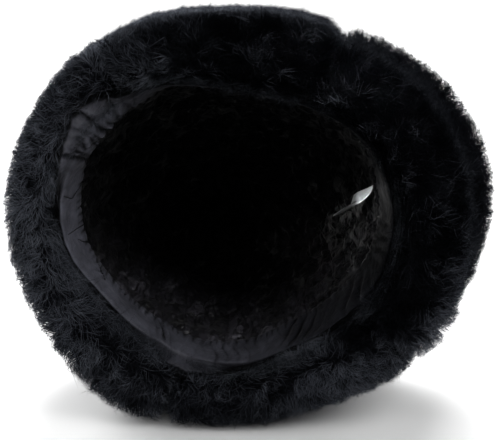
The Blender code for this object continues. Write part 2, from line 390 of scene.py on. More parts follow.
def place_at(angle, reach, height):
    """A place by its angle round the head, its distance from the axis and its height."""
    return Vector(MOUTH_MIDDLE + outward_at(angle) * reach + UPWARD * height)


def round_the_head(points):
    """Angle, distance from the axis and height of points."""
    own = worn(points)
    return np.arctan2(own[..., 1], own[..., 0]), np.hypot(own[..., 0], own[..., 1]), own[..., 2]


def angle_apart(angle, middle):
    """Degrees from an angle round the head in degrees to angles in radians, from -180 to 180."""
    return (np.degrees(angle) - middle + 180) % 360 - 180


def clear_scene():
    for obj in list(bpy.data.objects):
        bpy.data.objects.remove(obj, do_unlink=True)


def new_piece(name, mesh, *materials):
    """An object at the origin with its place in its mesh."""
    obj = bpy.data.objects.new(name, mesh)
    bpy.context.scene.collection.objects.link(obj)
    for made in materials:
        mesh.materials.append(made)
    return obj


def mesh_of(name, bm, smooth=True):
    mesh = bpy.data.meshes.new(name)
    for face in bm.faces:
        face.smooth = smooth
    bm.to_mesh(mesh)
    bm.free()
    return mesh


def settle(obj):
    """Applies the modifiers of a piece."""
    graph = bpy.context.evaluated_depsgraph_get()
    graph.update()
    mesh = bpy.data.meshes.new_from_object(obj.evaluated_get(graph))
    obj.modifiers.clear()
    obj.data = mesh


def copy_of(mesh):
    bm = bmesh.new()
    bm.from_mesh(mesh)
    return bm


def merged_copy(node):
    """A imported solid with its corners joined."""
    bm = copy_of(nodes[node].data)
    bmesh.ops.remove_doubles(bm, verts=bm.verts, dist=0.01 * MM)
    return bm


def ray_tree(bm):
    """A shape's faces, for rays. The shape itself isn't needed after it."""
    tree = BVHTree.FromBMesh(bm)
    bm.free()
    return tree


def node_tree(node):
    return ray_tree(merged_copy(node))


def smooth(bm, verts, rounds):
    for _ in range(rounds):
        bmesh.ops.smooth_vert(bm, verts=verts, factor=0.5, use_axis_x=True, use_axis_y=True, use_axis_z=True)


def places_of(bm):
    return np.array([v.co for v in bm.verts])


def normals_of(bm):
    return np.array([v.normal for v in bm.verts])


def vertex_array(mesh, what="co"):
    values = np.zeros(len(mesh.vertices) * 3, np.float32)
    mesh.vertices.foreach_get(what, values)
    return values.reshape(-1, 3).astype(float)


# materials

def join(socket, value):
    """Gives a socket its value, or joins it to the socket of another node."""
    if isinstance(value, bpy.types.NodeSocket):
        socket.id_data.links.new(value, socket)
    else:
        socket.default_value = value


def fill(node, **sockets):
    """Gives sockets of a node their values by name."""
    for name, value in sockets.items():
        join(node.inputs[name.replace("_", " ")], value)


def node_of(tree, kind, **sockets):
    made = tree.nodes.new(kind)
    fill(made, **sockets)
    return made


def material(name, rough, specular, **sockets):
    """A Principled material, its nodes and its shader."""
    made = bpy.data.materials.new(name)
    made.use_nodes = True
    tree = made.node_tree
    shader = tree.nodes["Principled BSDF"]
    fill(shader, Roughness=rough, Specular_IOR_Level=specular, **sockets)
    return made, tree, shader


def object_place(tree):
    return tree.nodes.new("ShaderNodeTexCoord").outputs["Object"]


def kept_at_vertices(tree, name):
    """What a mesh keeps at its vertices under a name."""
    made = tree.nodes.new("ShaderNodeAttribute")
    made.attribute_name = name
    return made.outputs


def cloud(tree, place, scale, detail=2.0):
    """Soft noise: the larger its scale, the finer it is."""
    return node_of(tree, "ShaderNodeTexNoise", Vector=place, Scale=scale, Detail=detail).outputs


def ramp(tree, source, *stops):
    """A colour ramp of (place, colour) stops."""
    made = node_of(tree, "ShaderNodeValToRGB", Fac=source)
    band = made.color_ramp
    while len(band.elements) < len(stops):
        band.elements.new(0.5)
    for element, (place, colour) in zip(band.elements, stops):
        element.position = place
        element.color = (*colour, 1)
    return made.outputs["Color"]


def blended(tree, kind, fac, first, second):
    """Two colours mixed."""
    made = node_of(tree, "ShaderNodeMixRGB", Fac=fac, Color1=first, Color2=second)
    made.blend_type = kind
    return made.outputs["Color"]


def times(tree, first, second):
    return blended(tree, "MULTIPLY", 1.0, first, second)


def mixed(tree, fac, first, second):
    """Two shaders mixed."""
    made = node_of(tree, "ShaderNodeMixShader", Fac=fac)
    join(made.inputs[1], first)
    join(made.inputs[2], second)
    return made.outputs["Shader"]


def vector_math(tree, operation, first, second):
    made = tree.nodes.new("ShaderNodeVectorMath")
    made.operation = operation
    join(made.inputs[0], first)
    join(made.inputs[1], second)
    return made.outputs


def bump(tree, height, strength, distance, under=None):
    """The normal of a surface with a relief, on top of another relief or on the bare surface."""
    made = node_of(tree, "ShaderNodeBump", Height=height, Strength=strength, Distance=distance)
    if under is not None:
        fill(made, Normal=under)
    return made.outputs["Normal"]


def ground_of(shader):
    """The socket that a shader's colour comes from."""
    return shader.inputs["Base Color"].links[0].from_socket


def shade_cloth(tree, shader):
    """Darkens a cloth's colour by the shade kept at its vertices."""
    shade = kept_at_vertices(tree, "shade")["Color"]
    fill(shader, Base_Color=times(tree, ground_of(shader), shade))
    return shade


def fur_material():
    """Near-black plush: each hair painted dark at its root, as the shade among the hairs, and paler at its
    tip, with a soft sheen.
    """
    made, tree, shader = material(
        "black_plush", 0.72, 0.0, Sheen_Roughness=0.4, Sheen_Tint=(0.62, 0.74, 0.80, 1)
    )
    tone = kept_at_vertices(tree, "tone")["Fac"]
    colour = ramp(
        tree, tone,
        (0.0, (0.0002, 0.0002, 0.0003)), (0.45, (0.0110, 0.0118, 0.0145)), (1.0, (0.090, 0.097, 0.115)),
    )
    uneven = cloud(tree, object_place(tree), 38.0, 3.0)["Fac"]
    patch = ramp(tree, uneven, (0.3, (0.62, 0.62, 0.64)), (0.7, WHITE))
    sheen = ramp(tree, tone, (0.2, BLACK), (1.0, (0.08, 0.08, 0.08)))
    fill(shader, Base_Color=times(tree, colour, patch), Sheen_Weight=sheen)
    return made


def hide_material():
    """The skin under the fur, as dark as the roots."""
    made, tree, shader = material("fur_roots", 0.9, 0.0)
    speck = cloud(tree, object_place(tree), 900.0)["Fac"]
    colour = ramp(tree, speck, (0.35, (0.0012, 0.0012, 0.0016)), (0.7, (0.006, 0.0065, 0.008)))
    fill(shader, Base_Color=colour, Normal=bump(tree, speck, 0.6, 0.6 * MM))
    return made


def weave_material(name, colour, rough, thread, float_share, specular, **sockets):
    """Woven cloth on the piece's own map in metres: thread is the thread's width."""
    made, tree, shader = material(name, rough, specular, **sockets)
    flat = tree.nodes.new("ShaderNodeUVMap").outputs["UV"]
    threads = []
    for direction in ("X", "Y"):
        wave = node_of(
            tree, "ShaderNodeTexWave",
            Vector=flat, Scale=0.5 / thread / math.pi, Distortion=0.6, Detail=1.0,
        )
        wave.bands_direction = direction
        threads.append(wave.outputs["Color"])
    cross = blended(tree, "MIX", float_share, *threads)
    place = object_place(tree)
    dark = tuple(0.6 * c for c in colour)
    pale = tuple(1.25 * c for c in colour)
    ground = ramp(tree, cloud(tree, place, 60.0, 4.0)["Fac"], (0.3, dark), (0.7, pale))
    fill(shader, Base_Color=blended(tree, "MULTIPLY", 0.35, ground, cross))
    return made, tree, shader, cross, place


def tilted_cells(tree, place, scale):
    """Flat cells, each tilted its own way, as the facets of crumpled cloth.

    Gives their heights in metres, and a number of its own for each cell.
    """
    cells = node_of(tree, "ShaderNodeTexVoronoi", Vector=place, Scale=scale).outputs
    away = vector_math(tree, "SUBTRACT", place, cells["Position"])["Vector"]
    tilt = vector_math(tree, "SUBTRACT", cells["Color"], (0.5, 0.5, 0.5))["Vector"]
    return vector_math(tree, "DOT_PRODUCT", away, tilt)["Value"], cells["Color"]


def satin_material(name, colour, rough, crumple, specular):
    """Crinkled satin: fine floats, tilted facets and short creases between them, the creases painted in shade
    and each facet painted darker or lighter as it would catch the light.
    """
    made, tree, shader, cross, place = weave_material(
        name, colour, rough, SATIN_THREAD, SATIN_FLOATS, specular, Sheen_Weight=0.03, Sheen_Roughness=0.4
    )
    drawn = node_of(tree, "ShaderNodeMapping", Vector=place, Scale=(1, FACET_STRETCH, 1))
    bent = cloud(tree, place, 110.0)
    warped = blended(tree, "ADD", 0.006, drawn.outputs["Vector"], bent["Color"])
    wide_height, wide_cells = tilted_cells(tree, warped, 110.0)
    fine_height, fine_cells = tilted_cells(tree, warped, 210.0)
    relief = bump(tree, wide_height, 1.0, 1.4 * crumple)
    relief = bump(tree, fine_height, 1.0, 0.7 * crumple, relief)
    crease = node_of(tree, "ShaderNodeTexVoronoi", Vector=warped, Scale=125.0)
    crease.feature = "DISTANCE_TO_EDGE"
    line = ramp(tree, crease.outputs["Distance"], (0.0, BLACK), (0.13, WHITE))
    kept = ramp(tree, cloud(tree, place, 130.0, 1.0)["Fac"], (0.50, BLACK), (0.57, WHITE))
    dash = blended(tree, "LIGHTEN", 1.0, line, kept)
    relief = bump(tree, dash, crumple, 0.8 * MM, relief)
    relief = bump(tree, cross, 0.12, 0.05 * MM, relief)
    wear = ramp(tree, bent["Fac"], (0.3, (rough - 0.08,) * 3), (0.7, (rough + 0.1,) * 3))
    painted_crease_shade = (1 - 0.8 * crumple,) * 3
    painted_facet_shade = (1 - 0.75 * crumple,) * 3
    # painted shade in the creases and on each facet
    tint = times(tree, ground_of(shader), ramp(tree, dash, (0.0, painted_crease_shade), (1.0, WHITE)))
    for cells in (wide_cells, fine_cells):
        tint = times(tree, tint, ramp(tree, cells, (0.15, painted_facet_shade), (0.85, WHITE)))
    fill(shader, Base_Color=tint, Normal=relief, Roughness=wear)
    # its reflection dimmed by the painted shade kept at its vertices
    fill(shader, Specular_Tint=shade_cloth(tree, shader))
    return made


def twill_material(name):
    """Matt black twill for the crown and for the backs of the flaps."""
    made, tree, shader, cross, place = weave_material(
        name, (0.010, 0.010, 0.012), 0.85, 0.5 * MM, 0.5, 0.10, Sheen_Weight=0.02, Sheen_Roughness=0.5
    )
    fuzzy = bump(tree, cloud(tree, place, 700.0)["Fac"], 0.25, 0.3 * MM)
    fill(shader, Normal=bump(tree, cross, 0.5, 0.2 * MM, fuzzy))
    return made, tree, shader


def crown_material():
    """The crown's twill, darker in its seams."""
    made, tree, shader = twill_material("crown_twill")
    shade_cloth(tree, shader)
    return made


def label_material():
    """White satin ribbon with fine floats along its length, painted grey in shade towards its loose end."""
    made, tree, shader, cross, _ = weave_material(
        "white_satin", (0.74, 0.75, 0.77), 0.45, SATIN_THREAD, SATIN_FLOATS, 0.4,
        Sheen_Weight=0.1, Sheen_Roughness=0.4,
    )
    fill(shader, Normal=bump(tree, cross, 0.25, 0.08 * MM))
    shade_cloth(tree, shader)
    return made


def thread_material(name, colour):
    """Sewing thread with its twist."""
    made, tree, shader = material(name, 0.55, 0.4)
    wave = node_of(tree, "ShaderNodeTexWave", Vector=object_place(tree), Scale=900.0, Distortion=2.0)
    twist = wave.outputs["Fac"]
    dark = tuple(0.5 * c for c in colour)
    fill(shader, Base_Color=ramp(tree, twist, (0.2, dark), (0.8, colour)))
    fill(shader, Normal=bump(tree, twist, 0.4, 0.1 * MM))
    return made


def table_material():
    """White paper that fades out towards the table's edges."""
    made, tree, shader = material("white_table", 0.9, 0.1)
    place = object_place(tree)
    grain = cloud(tree, place, 6.0)["Fac"]
    fill(shader, Base_Color=ramp(tree, grain, (0.3, (0.80,) * 3), (0.7, (0.82,) * 3)))
    wide = node_of(tree, "ShaderNodeMapping", Vector=place, Scale=(1 / TABLE_HALF,) * 3)
    nearness = node_of(tree, "ShaderNodeTexGradient", Vector=wide.outputs["Vector"])
    nearness.gradient_type = "SPHERICAL"
    there = ramp(tree, nearness.outputs["Fac"], (0.05, BLACK), (0.45, WHITE))
    clear = tree.nodes.new("ShaderNodeBsdfTransparent").outputs["BSDF"]
    faded = mixed(tree, there, clear, shader.outputs["BSDF"])
    fill(tree.nodes["Material Output"], Surface=faded)
    return made


# the fur flaps

def evened(values, ends, rounds):
    """Values at the corners of a mesh, brought near to those of their neighbours. Ends are its edges."""
    for _ in range(rounds):
        total = values.copy()
        count = np.ones(len(values))
        np.add.at(total, ends[:, 0], values[ends[:, 1]])
        np.add.at(total, ends[:, 1], values[ends[:, 0]])
        np.add.at(count, ends.ravel(), 1)
        values = total / count
    return values


def hide_of(flap):
    """The hide and padding of a flap: its solid drawn in by the depth of its fur."""
    bm = merged_copy(flap.node)
    hide = new_piece(f"{flap.node}_hide", mesh_of(f"{flap.node}_hide", bm))
    even = hide.modifiers.new("even", "REMESH")
    even.mode = "VOXEL"
    even.voxel_size = HIDE_GRAIN
    settle(hide)
    bm = copy_of(hide.data)
    smooth(bm, bm.verts, 8)
    bm.normal_update()
    tree = BVHTree.FromBMesh(bm)
    places = places_of(bm)
    normals = normals_of(bm)
    depth = np.zeros(len(places))
    for i, (place, normal) in enumerate(zip(places, normals)):
        start = Vector(place - normal * 0.5 * MM)
        hit = tree.ray_cast(start, Vector(-normal))
        depth[i] = min(FUR_DEPTH, FUR_SHARE * (hit[3] or FUR_DEPTH))
    endward = np.abs((normals * along_the_rim(places)).sum(1))
    depth = np.minimum(depth, END_DEPTH + (FUR_DEPTH - END_DEPTH) * (1 - endward) * 1.6)
    depth[cloth_side(places, normals)] = CLOTH_DEPTH
    ends = np.array([[v.index for v in e.verts] for e in bm.edges])
    depth = evened(depth, ends, 10)
    for vert, shift in zip(bm.verts, normals * depth[:, None]):
        vert.co -= Vector(shift)
    smooth(bm, bm.verts, 3)
    bm.normal_update()
    for face in bm.faces:
        middle = np.array(face.calc_center_median())
        if cloth_side(middle[None], np.array(face.normal)[None])[0]:
            face.material_index = 1
    mesh = mesh_of(hide.name, bm)
    for made in (fur_roots, flap_twill):
        mesh.materials.append(made)
    hide.data = mesh
    return hide, depth


def along_the_rim(places):
    """The direction round the head at each place."""
    angle = round_the_head(places)[0]
    return -FORWARD * np.sin(angle)[:, None] + SIDEWAYS * np.cos(angle)[:, None]


def cloth_side(places, normals):
    """Which points are on the cloth back of a flap, which faces the crown."""
    angle, _, height = round_the_head(places)
    out = FORWARD * np.cos(angle)[:, None] + SIDEWAYS * np.sin(angle)[:, None]
    return ((normals * out).sum(1) < -0.3) & (height > LIP_HEIGHT)


def turned(vectors, axes, angles):
    """Vectors turned about axes at right angles to them."""
    return vectors * np.cos(angles)[:, None] + np.cross(axes, vectors) * np.sin(angles)[:, None]


def noise_at(places, scale, seed):
    """One coherent number from -1 to 1 for each point."""
    shift = Vector((seed * 1.7, seed * 0.9, seed * 2.3))
    return np.array([noise.noise(Vector(p / scale) + shift) for p in places])


def wave_at(places, wave, seed):
    return wave.strong * noise_at(places, wave.apart, seed)


def lobe(angle, middle, half_width):
    """A soft bump round the head, 1 at its middle. The middle and half width are in degrees."""
    return np.exp(-(angle_apart(angle, middle) / half_width) ** 2)


def summed(angle, patches):
    """What patches round the head give together at an angle."""
    return sum(patch.gain * lobe(angle, patch.angle, patch.half_width) for patch in patches)


def rim_reach(angle):
    """The rim's distance from the head's axis."""
    return 1 / np.hypot(np.cos(angle) / RIM_LONG, np.sin(angle) / RIM_WIDE)


def beside_band(places):
    """How near a place on the fur is to the sweatband: 1 beside it."""
    angle, reach, height = round_the_head(places)
    apart = reach - rim_reach(angle) - pouch_spread(angle)
    return np.clip(1 - apart / LEAN_REACH, 0, 1) * (height < LIP_HEIGHT)


def comb(places, normals, seed):
    """The direction in which the fur lies: from the lip round the fold to the free edge, in swirls.

    At the wearer's front it is brushed sideways, and beside the sweatband it leans over the band.
    """
    angle = round_the_head(places)[0]
    along = along_the_rim(places)
    out = np.cross(along, UPWARD)
    nap = np.cross(normals, along) + 0.35 * UPWARD
    nap -= along * BRUSHED.gain * lobe(angle, BRUSHED.angle, BRUSHED.half_width)[:, None]
    inner = beside_band(places)
    nap -= out * 3 * inner[:, None]
    nap = unit(nap - normals * (nap * normals).sum(1, keepdims=True))
    swirl = wave_at(places, WIDE_SWIRL, seed) + wave_at(places, FINE_SWIRL, seed + 5)
    return turned(nap, normals, swirl * (1 - 0.7 * inner))


def spot_share(places, spot):
    """How far places lie in a tuft or parting: 1 in its middle."""
    angle, reach, height = round_the_head(places)
    round_way = np.radians(angle_apart(angle, spot.angle)) * reach / (spot.half_length * MM)
    out_way = (reach - rim_reach(angle) - spot.reach * MM) / (spot.half_width * MM)
    return np.exp(-round_way ** 2 - out_way ** 2) * (height < LIP_HEIGHT)


def parted(places):
    """How far the pile is parted: 1 in the middle of a parting."""
    return np.max([spot_share(places, spot) * (spot.pale < 1) for spot in SPOTS], axis=0)


def pile_tone_and_painted_light(places, normals):
    """How pale the pile is: on the side of the mouth it is painted lit in places and painted in shade in
    others, and its outer side is paler as painted rim light.
    """
    angle = round_the_head(places)[0]
    # the side of the mouth: painted shade with random flecks, and painted light in patches
    fleck = np.clip(3 * noise_at(places, 5 * MM, 71) - 0.3, 0, 1)
    mouth = PAINTED_SHADE_PILE * (1 + FLECKS * fleck)
    mouth += summed(angle, PAINTED_LIGHT_PILE)
    # the outer side: its tone raised as painted rim light, with painted shade in a patch
    outer = 1 - summed(angle, PAINTED_SHADE_OUTSIDE)
    facing = np.clip((-0.08 - normals @ UPWARD) / 0.6, 0, 1)
    facing = facing * facing * (3 - 2 * facing)
    tone = outer + (mouth - outer) * facing
    # tufts painted lit and partings painted in shade
    for spot in SPOTS:
        share = spot_share(places, spot)
        tone = tone * (1 - share * max(0, 1 - spot.pale)) + TUFT_PAINTED_LIGHT * share * max(0, spot.pale - 1)
    return tone


def roots_of(flap, mesh, depth, rng):
    """Where hairs grow on a hide: not on its cloth side, nor under the sweatband.

    Gives their places and normals, the depth of the pile there, and the area that they cover.
    """
    mesh.calc_loop_triangles()
    corners = np.zeros(len(mesh.loop_triangles) * 3, np.int32)
    mesh.loop_triangles.foreach_get("vertices", corners)
    corners = corners.reshape(-1, 3)
    verts = vertex_array(mesh)
    normals = vertex_array(mesh, "normal")
    a, b, c = (verts[corners[:, i]] for i in range(3))
    cross = np.cross(b - a, c - a)
    area = np.linalg.norm(cross, axis=1)
    middle = (a + b + c) / 3
    area[cloth_side(middle, unit(cross))] = 0
    angle, reach, height = round_the_head(middle)
    area[(reach - rim_reach(angle) < pouch_spread(angle) - 2 * MM) & (height < 0)] = 0
    pick = rng.choice(len(corners), flap.hairs, p=area / area.sum())
    u, v = rng.random((2, flap.hairs, 1))
    over = u + v > 1
    u, v = np.where(over, 1 - u, u), np.where(over, 1 - v, v)
    share = np.concatenate([1 - u - v, u, v], axis=1)[:, :, None]
    root = (verts[corners[pick]] * share).sum(1)
    normal = unit((normals[corners[pick]] * share).sum(1))
    pile = (depth[corners[pick]] * share[:, :, 0]).sum(1)
    return root, normal, pile, area.sum() / 2


def nearest_lead(root, lead):
    """The number of the lock's middle that is nearest to each root."""
    tree = KDTree(len(lead))
    for i, place in enumerate(root[lead]):
        tree.insert(place, i)
    tree.balance()
    return np.array([tree.find(place)[1] for place in root])


def fur_of(flap, hide, depth):
    """The fur of a flap: tapered hairs that gather into locks, joined in one mesh."""
    rng = np.random.default_rng(flap.seed)
    hairs = flap.hairs
    root, normal, pile, covered = roots_of(flap, hide.data, depth, rng)

    # locks: each has a middle, towards whose tip its hairs lean
    count = int(covered / LOCK_SPACING ** 2)
    lead = rng.choice(hairs, count, replace=False)
    lock = nearest_lead(root, lead)
    middle, up = root[lead], normal[lead]
    nap = turned(comb(middle, up, flap.seed), up, rng.normal(0, OF_LOCKS.turn, count))
    rise = LOCK_RISE + wave_at(middle, RISE_WAVE, flap.seed + 9) + rng.normal(0, OF_LOCKS.rise, count)
    rise = np.clip(rise, *LOCK_RISE_LIMITS)
    full = 1.0 + wave_at(middle, LENGTH_WAVE, flap.seed + 3) + rng.normal(0, LOCK_LENGTHS, count)
    full *= 1 - PARTING_SHORTER * parted(middle)
    full *= 1 + FULLER_LONGER * summed(round_the_head(middle)[0], FULLER_PILE)
    lock_tone = LOCK_TONE + wave_at(middle, TONE_WAVE, flap.seed + 7) + rng.normal(0, OF_LOCKS.tone, count)
    bend = rng.normal(0, OF_LOCKS.bend, count)

    # hairs: each from its root over its middle to its tip
    long = (HAIR_START + pile * HAIR_GAIN) * full[lock] * rng.uniform(*HAIR_LENGTHS, hairs)
    long *= np.where(rng.random(hairs) < STRAY_SHARE, STRAY_LENGTH, 1.0)
    inner = beside_band(root)
    long = (long + LEAN_LONGER * inner)[:, None]
    own_rise = (rise[lock] + rng.normal(0, OF_HAIRS.rise, hairs)) * (1 - 0.5 * inner)
    own_rise = np.clip(own_rise, *HAIR_RISE_LIMITS)[:, None]
    own_nap = turned(nap[lock], up[lock], rng.normal(0, OF_HAIRS.turn, hairs))
    own_nap = unit(own_nap - normal * (own_nap * normal).sum(1, keepdims=True))
    lying = np.sqrt(1 - own_rise ** 2)
    tip = root + long * (normal * own_rise + own_nap * lying)
    mid = root + long * (normal * (own_rise * MIDDLE_RISE + MIDDLE_LIFT) + own_nap * lying * MIDDLE_ALONG)
    mid += long * np.cross(normal, own_nap) * (bend[lock] + rng.normal(0, OF_HAIRS.bend, hairs))[:, None]
    lock_long = ((HAIR_START + pile[lead] * HAIR_GAIN) * full)[:, None]
    lock_tip = middle + lock_long * (up * rise[:, None] + nap * np.sqrt(1 - rise ** 2)[:, None])
    pull = rng.uniform(0.0, LOCK_PULL, hairs)[:, None]
    tip = tip + (lock_tip[lock] - tip) * pull
    mid = mid + ((middle + lock_tip)[lock] / 2 - mid) * pull * 0.3
    start = root - normal * ROOT_DEPTH
    shear(tip, flap, (rng.exponential(TIP_FUZZ, hairs) + TIP_CLEAR) * MM)
    shear(mid, flap, rng.uniform(*MIDDLE_CLEAR, hairs) * MM)
    for points in (start, mid, tip):
        press(points, rng)

    way = unit(tip - start)
    flat = turned(unit(np.cross(way, normal)), way, rng.uniform(-HAIR_TWIST, HAIR_TWIST, hairs))
    width = HAIR_WIDTH * rng.uniform(*HAIR_WIDTHS, hairs)[:, None]
    shape = np.stack(
        [start - flat * width / 2, start + flat * width / 2,
         mid - flat * width * MIDDLE_HALF, mid + flat * width * MIDDLE_HALF, tip], axis=1,
    )
    # the random tones of locks and hairs, times the pile's painted light and shade
    tone = (lock_tone[lock] + rng.normal(0, OF_HAIRS.tone, hairs)) * pile_tone_and_painted_light(root, normal)
    tones = np.clip(tone[:, None] * TONE_ALONG, 0, 1)
    facing = unit(np.cross(way, flat))
    facing = facing * np.sign((facing * normal).sum(1, keepdims=True))
    soft = unit(facing * 0.55 + normal * 0.6)
    return hair_mesh(flap, shape, tones, soft)


def shear(points, flap, clear):
    """Bends hairs that stand out of the flap's own form back to it, each to its own clearance."""
    tree = node_tree(flap.node)
    clear = clear + summed(round_the_head(points)[0], FULLER_PILE) * MM + LEAN_REACH * beside_band(points)
    for i, point in enumerate(points):
        place, normal, _, _ = tree.find_nearest(Vector(point))
        over = (Vector(point) - place).dot(normal) - clear[i]
        if over > 0:
            points[i] -= np.array(normal) * over


def press(points, rng):
    """Fur under the hat is pressed flat on what it lies on."""
    floor = FLOOR_CLEAR + rng.uniform(0, FLOOR_LAYER, len(points))
    low = points[:, 2] < floor
    points[low, 2] = floor[low]


def hair_mesh(flap, shape, tones, soft):
    """One mesh of all hairs: a strip of one quad and one triangle each."""
    count = len(shape)
    first = np.arange(count) * 5
    ring = np.stack([first, first + 1, first + 3, first + 2], axis=1)
    end = np.stack([first + 2, first + 3, first + 4], axis=1)
    mesh = bpy.data.meshes.new(f"{flap.node}_fur")
    mesh.from_pydata(shape.reshape(-1, 3).tolist(), [], ring.tolist() + end.tolist())
    mesh.attributes.new("tone", "FLOAT", "POINT").data.foreach_set("value", tones.ravel().astype(np.float32))
    mesh.shade_smooth()
    mesh.normals_split_custom_set_from_vertices(np.repeat(soft, 5, axis=0).tolist())
    return new_piece(mesh.name, mesh, black_plush)


def dress_flap(flap):
    hide, depth = hide_of(flap)
    fur = fur_of(flap, hide, depth)
    for piece in (hide, fur):
        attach(piece, "root")
        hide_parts(flap.node)


# the cloth dome, the lining and the sweatband

def cloth_grid(grid, wide, high):
    """A grid from -0.5 to 0.5 both ways, with the cloth's own map in metres."""
    bm = bmesh.new()
    flat = bm.loops.layers.uv.new("cloth")
    bmesh.ops.create_grid(bm, x_segments=grid[0], y_segments=grid[1], size=0.5, calc_uvs=True)
    for face in bm.faces:
        for loop in face.loops:
            loop[flat].uv = ((loop.vert.co.x + 0.5) * wide, (loop.vert.co.y + 0.5) * high)
    return bm


def next_row(bm, edge):
    """Grows a row of faces from an open edge. Gives its new edge and the corners there."""
    made = bmesh.ops.extrude_edge_only(bm, edges=edge)["geom"]
    return tuple([part for part in made if isinstance(part, kind)] for kind in (BMEdge, BMVert))


def thicken(piece, thickness):
    """Gives a sheet its two sides."""
    wall = piece.modifiers.new("cloth", "SOLIDIFY")
    wall.thickness = thickness
    wall.offset = -1
    settle(piece)


def dome_ray(angle, share, rim):
    """Where a ray for a place on a dome starts on the axis, and its direction. Share is 0 at the rim."""
    climb = share * math.pi / 2
    start = MOUTH_MIDDLE + UPWARD * (rim + (DOME_MIDDLE - rim) * share)
    return Vector(start), Vector(outward_at(angle) * math.cos(climb) + UPWARD * math.sin(climb))


def dome_cloth(name, node, rim, inside, grid, relief, gathered=0.0):
    """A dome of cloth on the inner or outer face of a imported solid, with its own map in metres.

    Its mesh can be gathered to the four seams of the crown.
    """
    tree = node_tree(node)
    bm = cloth_grid(grid, *DOME_FLAT)
    for vert in bm.verts:
        angle = (vert.co.x + 0.5) * math.tau
        angle -= gathered * math.sin(4 * angle)
        start, way = dome_ray(angle, vert.co.y + 0.5, rim)
        if inside:
            hit = tree.ray_cast(start, way)
        else:
            hit = tree.ray_cast(start + way * FAR_OUT, -way)
        vert.co = hit[0]
    bmesh.ops.remove_doubles(bm, verts=bm.verts, dist=0.02 * MM)
    smooth(bm, [v for v in bm.verts if not v.is_boundary], 6)
    bm.normal_update()
    probe = next(iter(bm.faces))
    if (probe.calc_center_median() - on_axis(30 * MM)).dot(probe.normal) < 0:
        bmesh.ops.reverse_faces(bm, faces=bm.faces)
    bm.normal_update()
    for vert, shift in zip(bm.verts, normals_of(bm) * relief(places_of(bm))[:, None]):
        vert.co += Vector(shift)
    return mesh_of(name, bm)


def crumple(places, cell, seed):
    """Crumpled cloth: flat facets, each tilted its own way, between sharp creases.

    Gives the height, about -0.5 to 0.5, and how near a crease is, from 0 on it to 1.
    """
    shift = Vector((seed, seed * 2.0, seed * 3.0))
    own = worn(places) * np.array((1.0, 1.0, FACET_STRETCH)) / cell
    heights = np.zeros(len(places))
    clear = np.zeros(len(places))
    for i, place in enumerate(own):
        here = Vector(place) + shift
        here += noise.noise_vector(here * 0.9) * 0.5
        far, middles = noise.voronoi(here)
        tilt = noise.cell_vector(middles[0]) - Vector((0.5, 0.5, 0.5))
        clear[i] = min(1.0, (far[1] - far[0]) * 3.0)
        heights[i] = (here - middles[0]).dot(tilt) * 2 * clear[i]
    return heights, clear


def lining_relief(places):
    """How far the lining puffs towards the head: facets, and gathers where it joins the band."""
    angle, _, height = round_the_head(places)
    free = np.clip((height - band_top(angle) + 2 * MM) / (7 * MM), 0, 1)
    big, big_clear = crumple(places, BIG_FACETS.apart, 3.1)
    small, small_clear = crumple(places, SMALL_FACETS.apart, 7.7)
    gather = np.abs(np.sin(angle * 26 + 3 * noise_at(places, 25 * MM, 6)))
    near = np.exp(-((height - band_top(angle)) / (14 * MM)) ** 2)
    lift = 0.8 * MM * big_clear ** 0.5 + BIG_FACETS.strong * big
    lift = lift + SMALL_FACETS.strong * small + 0.5 * MM * small_clear
    return -(0.2 * MM + free * np.maximum(1.5 * MM + lift + 1.3 * MM * gather * near, 0))


def lining_painted_shade(places):
    """How much of its colour the lining shows: painted light and shade round the head, painted shade that
    turns black deep in the crown, and its creases painted dark by its material.
    """
    angle, _, height = round_the_head(places)
    # painted shade deepening into the crown
    deep = np.clip((height - BAND_HIGH) / (55 * MM), 0, 1)
    # painted light in patches over painted shade
    pale = PAINTED_SHADE_LINING + summed(angle, PAINTED_LIGHT_LINING)
    return np.clip(pale, 0, 1) * (1 - deep) + PAINTED_SHADE_LINING * deep


def band_painted_shade(places):
    """How much of its colour the band shows: painted light and shade round the head, and painted shade in the
    valleys of its folds, its seam puckers and its creases.
    """
    angle, _, height = round_the_head(places)
    # painted light in patches over painted shade
    pale = PAINTED_SHADE_BAND + summed(angle, PAINTED_LIGHT_BAND)
    share = (height - BAND_LOW) / (band_top(angle) - BAND_LOW)
    # painted shade in the seam's puckers, the ruches' valleys and the pouch's creases
    pucker = np.exp(-(seam_pucker(angle) / 0.4) ** 2) * np.clip((share - 0.7) / 0.25, 0, 1)
    valley = np.maximum(ruche_folds(angle, share)[1], 0.9 * pucker)
    valley = np.clip(np.maximum(1.6 * valley, creased(places)), 0, 1)
    return np.clip(pale, 0, 1) * (1 - 0.95 * valley)


def shade_piece(piece, shade):
    """Keeps a painted shade for each vertex of a piece, with painted shadow where the piece lies under
    another.
    """
    values = shade(vertex_array(piece.data))
    under = piece.data.attributes.get("under")
    if under is not None:
        covered = np.zeros(len(values), np.float32)
        under.data.foreach_get("value", covered)
        values = values * (1 - 0.97 * covered)
    piece.data.attributes.new("shade", "FLOAT", "POINT").data.foreach_set("value", values.astype(np.float32))


def build_lining():
    mesh = dome_cloth("lining_cloth", "lining", LINING_RIM, True, LINING_GRID, lining_relief)
    lining = new_piece("lining_cloth", mesh, black_lining)
    shade_piece(lining, lining_painted_shade)
    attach(lining, "root")
    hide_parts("lining")
    return lining


def band_top(angle):
    """The height of the seam between band and lining, lower where the band sags."""
    return BAND_HIGH - SEAM_DROP * lobe(angle, SAG_ANGLE, 1.5 * SAG_WIDTH)


